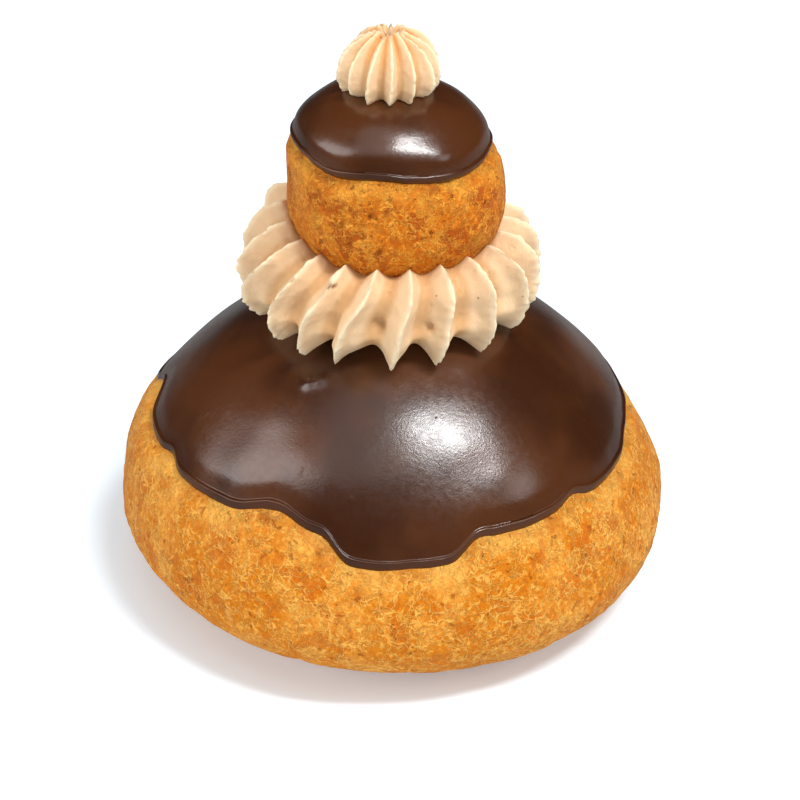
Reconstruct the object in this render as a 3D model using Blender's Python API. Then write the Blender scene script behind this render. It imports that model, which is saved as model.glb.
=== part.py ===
"""Coffee religieuse: a small iced choux bun in a ruff of piped coffee cream, on a large iced choux bun.

Metres, +Z up. The origin is the centre of the flat underside of the large bun.
Every piece is a turned form with an uneven outline, so each one is a stack of rings about its own
upright axis, closed by a point at either end. Sizes below are in millimetres and become metres
where the mesh is made. Angles round the axis start at the front (-Y) and grow towards +X.
"""

import math

import bpy
from mathutils import Vector, noise

MM = 0.001
TAU = 2 * math.pi

# Gap kept between pieces that touch, and the extra room that coarse facets need where one lies on another
GAP = 0.3
FACET_ROOM = 0.2

# Large choux bun with its icing: a turned dome, a rolled-under belly and a flat underside
BUN_RADIUS = 42.7
BUN_BASE_RADIUS = 22.95
BUN_WIDEST_Z = 12.58
BUN_TOP_Z = 49.07
BUN_BELLY_POWER = 1.07
BUN_DOME_POWER = 1.155
BUN_SEED = 3.0

# Small choux bun with its icing, set into the ruff a little to one side
TOP_BUN_RADIUS = 16.05
TOP_BUN_BASE_RADIUS = 5.0
TOP_BUN_FOOT_Z = 53.5
TOP_BUN_WIDEST_Z = 63.5
TOP_BUN_TOP_Z = 81.3
TOP_BUN_BELLY_POWER = 1.0
TOP_BUN_DOME_POWER = 0.74
TOP_BUN_SEED = 17.0

# How far each level of the two buns drifts off the axis towards +X: height, drift
BUN_DRIFT = ((0.0, 2.5), (12.6, 0.1), (24.0, -0.85), (34.0, -0.35), (44.0, 0.1), (49.0, 0.0))
TOP_BUN_DRIFT = ((53.5, 0.7), (66.0, 0.7), (75.0, -0.35), (81.0, -0.35))

# Low swells that make both buns uneven: share of the radius, waves round the bun, start in radians
SWELLS = ((0.005, 2, 0.6), (0.003, 3, 2.1), (0.003, 5, 4.0))
SWELL_BUMP = 0.4
SWELL_BUMP_SIZE = 11.0

# Icing on the large and on the small bun. Sections at its rim are given as the height above the rim
# and the depth under the skin: the crust's step and the icing's underside as shares of the depth that
# the icing takes, its face in millimetres, with a lip that stands proud below a shallow crease
ICING_THICKNESS = 1.4
TOP_ICING_THICKNESS = 1.15
CRUST_STEP = ((-0.75, 0.0), (-0.35, 0.3), (-0.1, 0.75), (0.9, 1.0))
ICING_UNDERSIDE = ((0.9, 1.0), (0.15, 0.8), (0.0, 0.35))
ICING_FACE = ((0.3, -0.08), (1.1, -0.12), (2.0, 0.25), (3.4, 0.1))

# Rim of the large icing, and its lobes: centre and half width in degrees, how far each one runs down
ICING_RIM_Z = 29.8
ICING_LOBES = (
    (3.5, 15.7, 5.5),
    (-13.0, 8.5, 1.6),
    (32.6, 14.2, 3.0),
    (47.0, 3.5, 2.1),
    (54.4, 9.5, 2.1),
    (63.1, 14.2, 3.5),
    (80.4, 16.0, 2.6),
    (101.4, 15.5, 2.9),
    (127.0, 10.0, 2.2),
    (151.0, 11.5, 4.4),
    (177.0, 10.5, 2.4),
    (201.0, 11.0, 3.6),
    (226.0, 11.0, 2.0),
    (250.0, 10.0, 3.4),
    (-77.4, 11.4, 1.9),
    (-53.8, 9.8, 2.0),
    (-47.4, 14.8, 1.7),
)
LOBE_FLANK = 8.0
LOBE_ROUNDING = 0.12

# Rim of the small icing: nearly level
TOP_ICING_RIM_Z = 73.1
TOP_ICING_WAVES = ((0.8, 1, 3.14), (0.25, 5, 1.5), (0.1, 8, 3.0))

# Ruff of cream: thin fins on a round ring, wide at the crests (out, up) and slim in the valleys
RUFF_FINS = 21
RUFF_FIRST_FIN = -10.0
RUFF_CENTRE = (-0.35, 1.25)
RUFF_AXIS_RADIUS = 15.2
RUFF_AXIS_Z = 51.6
RUFF_CREST = (7.75, 8.3)
RUFF_VALLEY = (3.9, 5.8)
RUFF_LOW_ANGLE = -56.0
RUFF_HIGH_ANGLE = 84.0
RUFF_COLLAR_Z = (58.2, 59.8)
RUFF_RISE = 3.2
RUFF_RISE_AT = -125.0
RUFF_RISE_OUT = 0.4
RUFF_UNEVEN = 0.03

# How far round the foot of a fin is swept from its upper end, and how that changes from -X to +X
RUFF_LEAN = -8.0
RUFF_LEAN_SWAY = 10.0
# Fins whose foot strays from that rule, counted from the one in front: degrees
RUFF_STRAYS = {-3: -3.0, -2: 3.0, 0: -5.0, 3: 3.0, 4: 9.0, 8: 4.0}

# Rosette of cream on top
ROSETTE_RIBS = 13
ROSETTE_CREST = 7.5
ROSETTE_VALLEY = 5.5
ROSETTE_WIDEST_Z = 83.3
ROSETTE_TOP_Z = 89.8
ROSETTE_DROP = 4.6
ROSETTE_X = -0.25
ROSETTE_FIRST_RIB = 2.5
ROSETTE_TWIST = 3.0
ROSETTE_NIB_RADIUS = 0.9
ROSETTE_NIB_FOOT_Z = 90.0
ROSETTE_NIB_Z = 90.8
ROSETTE_ROOM = 0.38

# How pointed the piped crests are: lower is sharper
CREST_SHARPNESS = 0.95

# Where rings lie: shares of the belly, of the bare side and of the cap from the rim to the top
BELLY_RINGS = (0.0, 0.2, 0.4, 0.6, 0.8)
SIDE_RINGS = (0.0, 0.25, 0.5, 0.75)
UNDER_ICING_RINGS = (0.2, 0.45, 0.7, 0.9)
ICING_RINGS = (0.2, 0.35, 0.52, 0.7, 0.86)
RUFF_UNDERSIDE_RADII = (6.0, 13.0)
RUFF_FIN_RINGS = 8
RUFF_DISH_RINGS = (0.0, 0.35, 0.65, 0.88, 1.0)
ROSETTE_UNDERSIDE_RADIUS = 2.5
ROSETTE_SIDE_ANGLES = (-32.0, -14.0, 8.0, 28.0, 46.0, 62.0, 76.0)

# Points round each turned form
BUN_STEPS = 88
TOP_BUN_STEPS = 48
STEPS_A_FIN = 6
STEPS_A_RIB = 5

# Halvings that find a level, rounds that settle a point on a dome, and the angle that shades as an edge
HALVINGS = 30
SETTLING_ROUNDS = 4
SHARP_EDGE = 50.0

# Colour as linear RGB, and roughness
FINISHES = {
    "crust": ((0.76, 0.31, 0.055), 0.62),
    "small_crust": ((0.64, 0.22, 0.035), 0.6),
    "icing": ((0.045, 0.012, 0.004), 0.25),
    "cream": ((0.86, 0.59, 0.34), 0.55),
}


class Bun:
    """The skin of an iced choux bun: crust below the rim of the icing, icing above it.

    A level runs along the profile from 0, the edge of the flat foot, through BELLY_SHARE, the
    widest ring, to 1, the top.
    """

    BELLY_SHARE = 0.3

    def __init__(self, foot_z, widest_z, top_z, radius, base_radius, powers, drift, seed):
        self.foot_z = foot_z
        self.widest_z = widest_z
        self.top_z = top_z
        self.radius = radius
        self.base_radius = base_radius
        self.belly_power, self.dome_power = powers
        self.drift = drift
        self.seed = seed

    def profile(self, level):
        """Radius and height at a level."""
        if level < self.BELLY_SHARE:
            turn = max(level, 0.0) / self.BELLY_SHARE * math.pi / 2
            out = math.sin(turn) ** self.belly_power
            up = 1 - max(math.cos(turn), 0.0) ** self.belly_power
            return (
                self.base_radius + (self.radius - self.base_radius) * out,
                self.foot_z + (self.widest_z - self.foot_z) * up,
            )
        turn = (min(level, 1.0) - self.BELLY_SHARE) / (1 - self.BELLY_SHARE) * math.pi / 2
        out = max(math.cos(turn), 0.0) ** self.dome_power
        up = math.sin(turn) ** self.dome_power
        return self.radius * out, self.widest_z + (self.top_z - self.widest_z) * up

    def along(self, level):
        """The run of the profile near a level, as radius and height, for a step of one level."""
        step = 0.002
        low = self.profile(level - step)
        high = self.profile(level + step)
        span = min(level + step, 1.0) - max(level - step, 0.0)
        return Vector((high[0] - low[0], high[1] - low[1])) / span

    def climb(self, level, distance):
        """The level that lies a distance further up the profile."""
        return level + distance / self.along(level).length

    def level_at(self, height):
        """The level at which the profile reaches a height."""
        low, high = 0.0, 1.0
        for _ in range(HALVINGS):
            middle = (low + high) / 2
            if self.profile(middle)[1] < height:
                low = middle
            else:
                high = middle
        return (low + high) / 2

    def level_out(self, radius):
        """The level on the dome at which the profile is as wide as a radius."""
        low, high = self.BELLY_SHARE, 1.0
        for _ in range(HALVINGS):
            middle = (low + high) / 2
            if self.profile(middle)[0] > radius:
                low = middle
            else:
                high = middle
        return (low + high) / 2

    def centre_x(self, height):
        """Where the centre of a level lies."""
        for (low_z, low_x), (high_z, high_x) in zip(self.drift, self.drift[1:]):
            if height < high_z:
                return mix(low_x, high_x, smooth((height - low_z) / (high_z - low_z)))
        return self.drift[-1][1]

    def swell(self, angle, radius, height):
        """How far the skin stands out of the plain turned form here."""
        waves = sum(size * math.sin(count * angle + start) for size, count, start in SWELLS)
        spot = polar(angle, radius, height + self.seed)
        bump = SWELL_BUMP * noise.noise(spot / SWELL_BUMP_SIZE)
        return radius / self.radius * (waves * self.radius + bump)

    def point(self, angle, level, depth=0.0):
        """A point of the skin, or one that lies a depth under it."""
        radius, height = self.profile(level)
        run = self.along(level).normalized()
        calm = smooth(2 * level / self.BELLY_SHARE)
        stand = self.swell(angle, radius, height) * calm - depth
        radius = max(radius + run.y * stand, 0.0)
        height = height - run.x * stand if level > 0.0 else self.foot_z
        return polar(angle, radius, height, self.centre_x(height))


def polar(angle, radius, height, centre_x=0.0, centre_y=0.0):
    """A point at an angle from the front."""
    return Vector((centre_x + math.sin(angle) * radius, centre_y - math.cos(angle) * radius, height))


def smooth(share):
    """Eased step from 0 to 1."""
    share = min(max(share, 0.0), 1.0)
    return share * share * (3 - 2 * share)


def mix(low, high, share):
    return low + (high - low) * share


def angles(steps):
    return [TAU * i / steps for i in range(steps)]


def rim_height(angle):
    """Height of the rim of the large icing: the lowest of its lobes at this angle."""
    run = 0.0
    for centre, half_width, drop in ICING_LOBES:
        away = abs((math.degrees(angle) - centre + 180.0) % 360.0 - 180.0)
        flank = smooth((half_width + LOBE_FLANK / 2 - away) / LOBE_FLANK)
        run = max(run, drop * flank * (1 - LOBE_ROUNDING * (away / half_width) ** 2))
    return ICING_RIM_Z - run


def top_rim_height(angle):
    """Height of the rim of the small icing."""
    waves = sum(size * math.sin(count * angle + start) for size, count, start in TOP_ICING_WAVES)
    return TOP_ICING_RIM_Z + waves


BUN = Bun(
    foot_z=0.0,
    widest_z=BUN_WIDEST_Z,
    top_z=BUN_TOP_Z,
    radius=BUN_RADIUS,
    base_radius=BUN_BASE_RADIUS,
    powers=(BUN_BELLY_POWER, BUN_DOME_POWER),
    drift=BUN_DRIFT,
    seed=BUN_SEED,
)
TOP_BUN = Bun(
    foot_z=TOP_BUN_FOOT_Z,
    widest_z=TOP_BUN_WIDEST_Z,
    top_z=TOP_BUN_TOP_Z,
    radius=TOP_BUN_RADIUS,
    base_radius=TOP_BUN_BASE_RADIUS,
    powers=(TOP_BUN_BELLY_POWER, TOP_BUN_DOME_POWER),
    drift=TOP_BUN_DRIFT,
    seed=TOP_BUN_SEED,
)


class SkinRings:
    """Rings on the skin of a bun, or a depth under it, placed by where the rim of its icing runs."""

    def __init__(self, bun, rim, steps):
        self.bun = bun
        self.turns = angles(steps)
        self.rims = [bun.level_at(rim(a)) for a in self.turns]

    def ring(self, level_for, depth):
        return [self.bun.point(a, level_for(r), depth) for a, r in zip(self.turns, self.rims)]

    def belly(self, share):
        """Bare crust between the foot (0) and the widest ring (1)."""
        return self.ring(lambda rim: share * Bun.BELLY_SHARE, 0.0)

    def side(self, share):
        """Bare crust between the widest ring (0) and the rim (1)."""
        return self.ring(lambda rim: mix(Bun.BELLY_SHARE, rim, share), 0.0)

    def edge(self, above, depth):
        """A ring a set distance above the rim, or below it where the distance is negative."""
        return self.ring(lambda rim: self.bun.climb(rim, above), depth)

    def cap(self, share, depth):
        """A ring between the rim (0) and the top (1)."""
        return self.ring(lambda rim: mix(rim, 1.0, share), depth)

    def top(self, depth):
        return self.bun.point(0.0, 1.0, depth)


def closed_mesh(name, foot, rings, top, finish):
    """An object from a stack of rings, lowest first, closed by a point at either end."""
    steps = len(rings[0])
    points = [foot] + [p for ring in rings for p in ring] + [top]
    last = len(points) - 1
    faces = []
    for i in range(steps):
        j = (i + 1) % steps
        faces.append((0, 1 + j, 1 + i))
        for row in range(len(rings) - 1):
            low = 1 + row * steps
            high = low + steps
            faces.append((low + i, low + j, high + j, high + i))
        low = 1 + (len(rings) - 1) * steps
        faces.append((low + i, low + j, last))
    mesh = bpy.data.meshes.new(name)
    mesh.from_pydata([p * MM for p in points], [], faces)
    mesh.shade_smooth()
    mesh.set_sharp_from_angle(angle=math.radians(SHARP_EDGE))
    mesh.materials.append(finish)
    obj = bpy.data.objects.new(name, mesh)
    bpy.context.scene.collection.objects.link(obj)
    return obj


def finish_of(name):
    """Principled material with the piece's colour and roughness."""
    colour, roughness = FINISHES[name]
    material = bpy.data.materials.new(name)
    material.use_nodes = True
    shader = material.node_tree.nodes["Principled BSDF"]
    shader.inputs["Base Color"].default_value = (*colour, 1.0)
    shader.inputs["Roughness"].default_value = roughness
    shader.inputs["Metallic"].default_value = 0.0
    return material


def crust(name, bun, rim, thickness, steps, finish):
    """A baked choux bun: bare up to the rim, then stepped in by what the icing takes."""
    skin = SkinRings(bun, rim, steps)
    under = thickness + GAP + FACET_ROOM
    rings = [skin.belly(share) for share in BELLY_RINGS]
    rings += [skin.side(share) for share in SIDE_RINGS]
    rings += [skin.edge(above, share * under) for above, share in CRUST_STEP]
    rings += [skin.cap(share, under) for share in UNDER_ICING_RINGS]
    foot = Vector((bun.centre_x(bun.foot_z), 0.0, bun.foot_z))
    return closed_mesh(name, foot, rings, skin.top(under), finish)


def icing(name, bun, rim, thickness, steps, finish):
    """A cap of set icing: a rounded lip that stands a little proud, a crease, then the smooth dome."""
    skin = SkinRings(bun, rim, steps)
    rings = [skin.cap(share, thickness) for share in reversed(UNDER_ICING_RINGS)]
    rings += [skin.edge(above, share * thickness) for above, share in ICING_UNDERSIDE]
    rings += [skin.edge(above, depth) for above, depth in ICING_FACE]
    rings += [skin.cap(share, 0.0) for share in ICING_RINGS]
    return closed_mesh(name, skin.top(thickness), rings, skin.top(0.0), finish)


def crest_share(angle, count):
    """1 on a crest and 0 in a valley: thin crests and rounded valleys, as a star nozzle leaves."""
    return 1.0 - abs(math.sin(count * angle / 2)) ** CREST_SHARPNESS


def rest_on(bun, point, room):
    """A point raised where needed to lie a little clear of the dome of a bun."""
    height = bun.top_z
    for _ in range(SETTLING_ROUNDS):
        across = Vector((point.x - bun.centre_x(height), point.y))
        level = bun.level_out(across.length)
        height = bun.point(math.atan2(across.x, -across.y), level).z
    upright = -bun.along(level).normalized().x
    point.z = max(point.z, height + room / upright)
    return point


def ruff(name, finish):
    """The ring of piped cream: star-nozzle fins on a round body that the small bun is set into."""
    first = math.radians(RUFF_FIRST_FIN)
    turns = [first + a for a in angles(RUFF_FINS * STEPS_A_FIN)]
    shares = [crest_share(a - first, RUFF_FINS) for a in turns]
    foot_z = RUFF_AXIS_Z - RUFF_CREST[1]
    room = GAP + FACET_ROOM

    def fin_number(angle):
        """The fin nearest to an angle, counted from the one in front and negative towards -X."""
        count = round((angle - first) / TAU * RUFF_FINS)
        return count if count <= RUFF_FINS // 2 else count - RUFF_FINS

    def rise(angle):
        """How much higher the ruff stands here: its end is piped over its start at the back."""
        away = math.cos(angle - math.radians(RUFF_RISE_AT))
        return RUFF_RISE * max(away, 0.0) ** 2

    def swept(angle, share, height):
        """The angle of a fin at a height, its foot swept round from its upper end."""
        stray = RUFF_STRAYS.get(fin_number(angle), 0.0) * smooth(2 * share)
        sweep = RUFF_LEAN + RUFF_LEAN_SWAY * math.sin(angle) + stray
        down = (RUFF_COLLAR_Z[1] - height) / (RUFF_COLLAR_Z[1] - foot_z)
        return angle + math.radians(sweep) * down

    def centre(height):
        """Centre of the ruff at a height: its top closes round the small bun."""
        share = smooth((height - RUFF_AXIS_Z) / (RUFF_COLLAR_Z[0] - RUFF_AXIS_Z))
        return mix(RUFF_CENTRE[0], TOP_BUN.centre_x(height), share), mix(RUFF_CENTRE[1], 0.0, share)

    def fin_ring(arc_angle):
        turn = math.radians(arc_angle)
        ring = []
        for a, share in zip(turns, shares):
            uneven = 1 + RUFF_UNEVEN * math.sin(fin_number(a) ** 2)
            wide = mix(RUFF_VALLEY[0], RUFF_CREST[0] * uneven, share)
            tall = mix(RUFF_VALLEY[1], RUFF_CREST[1], share)
            lift = rise(a) * max(math.sin(turn), 0.0)
            radius = RUFF_AXIS_RADIUS + wide * math.cos(turn) + RUFF_RISE_OUT * lift
            height = RUFF_AXIS_Z + tall * math.sin(turn) + lift
            point = polar(swept(a, share, height), radius, height, *centre(height))
            ring.append(rest_on(BUN, point, room))
        return ring

    def lying_ring(radius):
        """A ring of the underside, on the icing."""
        points = [polar(swept(a, share, foot_z), radius, 0.0) for a, share in zip(turns, shares)]
        return [rest_on(BUN, point, room) for point in points]

    def dish_ring(down):
        """A ring under the small bun, from the upper edge of the fins (0) to the bun's foot (1)."""
        ring = []
        for a, share in zip(turns, shares):
            edge_z = mix(*RUFF_COLLAR_Z, share) + rise(a)
            level = TOP_BUN.level_at(mix(edge_z, TOP_BUN_FOOT_Z, down))
            ring.append(TOP_BUN.point(a, level, -room))
        return ring

    shares_up = [i / (RUFF_FIN_RINGS - 1) for i in range(RUFF_FIN_RINGS)]
    rings = [lying_ring(radius) for radius in RUFF_UNDERSIDE_RADII]
    rings += [fin_ring(mix(RUFF_LOW_ANGLE, RUFF_HIGH_ANGLE, share)) for share in shares_up]
    rings += [dish_ring(down) for down in RUFF_DISH_RINGS]
    foot = BUN.point(0.0, 1.0, -room)
    top = Vector((TOP_BUN.centre_x(TOP_BUN_FOOT_Z), 0.0, TOP_BUN_FOOT_Z - room))
    return closed_mesh(name, foot, rings, top, finish)


def rosette(name, finish):
    """The small star of cream on top: ribs that run up into a drawn-out tip."""
    turns = angles(ROSETTE_RIBS * STEPS_A_RIB)
    shares = [crest_share(a, ROSETTE_RIBS) for a in turns]

    def rib_ring(crest, valley, height, twist):
        ring = []
        for a, share in zip(turns, shares):
            angle = a + math.radians(ROSETTE_FIRST_RIB + twist)
            point = polar(angle, mix(valley, crest, share), height, ROSETTE_X)
            ring.append(rest_on(TOP_BUN, point, ROSETTE_ROOM))
        return ring

    def side(turn):
        """Ring on the rounded side, from under the widest level to near the top (90)."""
        up = math.sin(math.radians(turn))
        out = math.cos(math.radians(turn))
        rise = ROSETTE_TOP_Z - ROSETTE_WIDEST_Z if up > 0 else ROSETTE_DROP
        height = ROSETTE_WIDEST_Z + rise * up
        return rib_ring(ROSETTE_CREST * out, ROSETTE_VALLEY * out, height, ROSETTE_TWIST * up)

    rings = [rib_ring(ROSETTE_UNDERSIDE_RADIUS, ROSETTE_UNDERSIDE_RADIUS, 0.0, 0.0)]
    rings += [side(turn) for turn in ROSETTE_SIDE_ANGLES]
    rings += [rib_ring(ROSETTE_NIB_RADIUS, ROSETTE_NIB_RADIUS, ROSETTE_NIB_FOOT_Z, ROSETTE_TWIST)]
    foot = rest_on(TOP_BUN, Vector((ROSETTE_X, 0.0, 0.0)), ROSETTE_ROOM)
    top = Vector((ROSETTE_X, 0.0, ROSETTE_NIB_Z))
    return closed_mesh(name, foot, rings, top, finish)


def main():
    for obj in list(bpy.data.objects):
        bpy.data.objects.remove(obj)
    crust_finish = finish_of("crust")
    small_crust_finish = finish_of("small_crust")
    icing_finish = finish_of("icing")
    cream_finish = finish_of("cream")
    crust("large_choux", BUN, rim_height, ICING_THICKNESS, BUN_STEPS, crust_finish)
    icing("large_icing", BUN, rim_height, ICING_THICKNESS, BUN_STEPS, icing_finish)
    ruff("cream_ruff", cream_finish)
    crust("small_choux", TOP_BUN, top_rim_height, TOP_ICING_THICKNESS, TOP_BUN_STEPS, small_crust_finish)
    icing("small_icing", TOP_BUN, top_rim_height, TOP_ICING_THICKNESS, TOP_BUN_STEPS, icing_finish)
    rosette("cream_rosette", cream_finish)


main()
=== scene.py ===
"""Looks of a coffee religieuse: two baked choux buns, glossy dark icing and piped coffee cream.

Every piece replaces the solid of its own name with a fine mesh on the same turned forms. Sizes are in
millimetres and become metres where a mesh is made. Angles round the axis start at the front (-Y) and
grow towards +X. A grid holds rings, lowest first, each with a point at every angle.
"""

import math

import bpy
import numpy as np
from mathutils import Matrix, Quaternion, Vector, noise


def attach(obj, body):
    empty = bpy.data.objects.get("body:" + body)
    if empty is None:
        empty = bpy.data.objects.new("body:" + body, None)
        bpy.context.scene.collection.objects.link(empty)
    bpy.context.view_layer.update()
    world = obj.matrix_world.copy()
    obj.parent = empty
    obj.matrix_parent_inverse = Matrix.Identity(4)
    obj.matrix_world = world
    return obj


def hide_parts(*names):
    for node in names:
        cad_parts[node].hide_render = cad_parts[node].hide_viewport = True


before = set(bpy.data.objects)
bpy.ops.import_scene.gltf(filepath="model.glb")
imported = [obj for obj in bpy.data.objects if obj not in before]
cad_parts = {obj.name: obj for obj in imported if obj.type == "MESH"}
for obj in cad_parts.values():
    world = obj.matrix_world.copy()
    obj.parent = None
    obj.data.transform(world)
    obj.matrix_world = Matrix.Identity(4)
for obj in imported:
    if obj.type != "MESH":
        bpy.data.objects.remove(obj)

MM = 0.001
TAU = 2 * math.pi
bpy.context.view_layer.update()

# The photograph's camera, and the width of its frame in pixels
CAMERA_AT = (1.28, -294.45, 213.5)
CAMERA_AIM = (1.28, 0.0, 28.11)
CAMERA_LENS = 100.69
CAMERA_SENSOR = 36.0
PHOTO_WIDTH = 800

# How far a seed shifts the noise along each axis
SEED_SHIFTS = (1.0, 2.3, 0.7)

# Low swells of both buns: share of the radius, waves round the bun, start in radians
SWELLS = ((0.005, 2, 0.6), (0.003, 3, 2.1), (0.003, 5, 4.0))
SWELL_BUMP = 0.4
SWELL_BUMP_SIZE = 11.0

# Rim of the large icing, and its lobes: centre and half width in degrees, how far each one runs down
ICING_RIM_Z = 29.8
ICING_LOBES = (
    (3.5, 15.7, 5.5),
    (-13.0, 8.5, 1.6),
    (32.6, 14.2, 3.0),
    (47.0, 3.5, 2.1),
    (54.4, 9.5, 2.1),
    (63.1, 14.2, 3.5),
    (80.4, 16.0, 2.6),
    (101.4, 15.5, 2.9),
    (127.0, 10.0, 2.2),
    (151.0, 11.5, 4.4),
    (177.0, 10.5, 2.4),
    (201.0, 11.0, 3.6),
    (226.0, 11.0, 2.0),
    (250.0, 10.0, 3.4),
    (-77.4, 11.4, 1.9),
    (-53.8, 9.8, 2.0),
    (-47.4, 14.8, 1.7),
)
LOBE_FLANK = 8.0
LOBE_ROUNDING = 0.12
# The surface tension that rounds the rim: turns in degrees over which it is averaged, and their weights
RIM_SOFTENING = ((-3.0, 0.14), (-1.5, 0.21), (0.0, 0.3), (1.5, 0.21), (3.0, 0.14))
# Its raggedness: radius at which it is read, size, height, seed
RIM_RAGGED = (40.0, 5.0, 0.1, 5.0)

# Rim of the small icing: nearly level
TOP_ICING_RIM_Z = 73.1
TOP_ICING_WAVES = ((0.8, 1, 3.14), (0.25, 5, 1.5), (0.1, 8, 3.0))
TOP_RIM_RAGGED = (16.0, 1.8, 0.1, 9.0)

# Ruff of cream: thin fins on a round ring, wide at the crests (out, up) and slim in the valleys
RUFF_FINS = 21
RUFF_FIRST_FIN = -10.0
RUFF_CENTRE = (-0.35, 1.25)
RUFF_AXIS_RADIUS = 15.2
RUFF_AXIS_Z = 51.6
RUFF_CREST = (7.75, 8.3)
RUFF_VALLEY = (3.9, 5.8)
RUFF_VALLEY_FOOT = 4.7
RUFF_LOW_ANGLE = -56.0
RUFF_HIGH_ANGLE = 84.0
RUFF_COLLAR_Z = (58.2, 59.8)
RUFF_RISE = 3.2
RUFF_RISE_AT = -125.0
RUFF_RISE_OUT = 0.4
RUFF_UNEVEN = 0.03
RUFF_LEAN = -8.0
RUFF_LEAN_SWAY = 10.0
RUFF_STRAYS = {-3: -3.0, -2: 3.0, 0: -5.0, 3: 3.0, 4: 9.0, 8: 4.0}
RUFF_BULGE = 0.9
RUFF_BULGE_ANGLE = -26.0
RUFF_BULGE_SPREAD = 16.0
RUFF_HIDDEN_RADII = (4.0, 8.0, 11.0, 13.0)
RUFF_DISH_SHARES = (0.0, 0.1, 0.25, 0.45, 0.7, 1.0)
RUFF_CALM_ANGLE = 80.0
RUFF_CALM_RUN = 12.0

# Rosette of cream on top
ROSETTE_RIBS = 13
ROSETTE_CREST = 7.5
ROSETTE_VALLEY = 5.5
ROSETTE_WIDEST_Z = 83.3
ROSETTE_TOP_Z = 89.8
ROSETTE_DROP = 4.6
ROSETTE_X = -0.25
ROSETTE_FIRST_RIB = 2.5
ROSETTE_TWIST = 3.0
ROSETTE_NIB_Z = 90.8

# Pieces lie on each other with no gap to see
CONTACT = 0.05

# How steeply a dent falls away
DENT_FALL = 2.5

# How the point that shows at a pixel is found: pixels of slack, and millimetres for each one more
PIXEL_SLACK = 2.0
PIXEL_COST = 20


def smooth(share):
    """Eased step from 0 to 1."""
    share = np.clip(share, 0.0, 1.0)
    return share * share * (3 - 2 * share)


def mix(low, high, share):
    """The value a share of the way from low to high."""
    return low + (high - low) * share


def polar(angle, radius, height, centre_x=0.0, centre_y=0.0):
    """Points at angles from the front."""
    angle, radius, height = np.broadcast_arrays(angle, radius, height)
    return np.stack(
        (centre_x + np.sin(angle) * radius, centre_y - np.cos(angle) * radius, height), axis=-1
    )


def lumps(points, size, seed, octaves=1):
    """Noise about 0 at each point, in lumps of a size in millimetres, finer too in more octaves."""
    shift = Vector([share * seed for share in SEED_SHIFTS])
    flat = (points.reshape(-1, 3) / size).tolist()
    if octaves == 1:
        values = [noise.noise(Vector(p) + shift) for p in flat]
    else:
        values = [noise.fractal(Vector(p) + shift, 1.0, 2.0, octaves) for p in flat]
    return np.array(values).reshape(points.shape[:-1])


def turned_steps(count):
    """Even steps once round the axis."""
    return np.arange(count) * TAU / count


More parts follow.
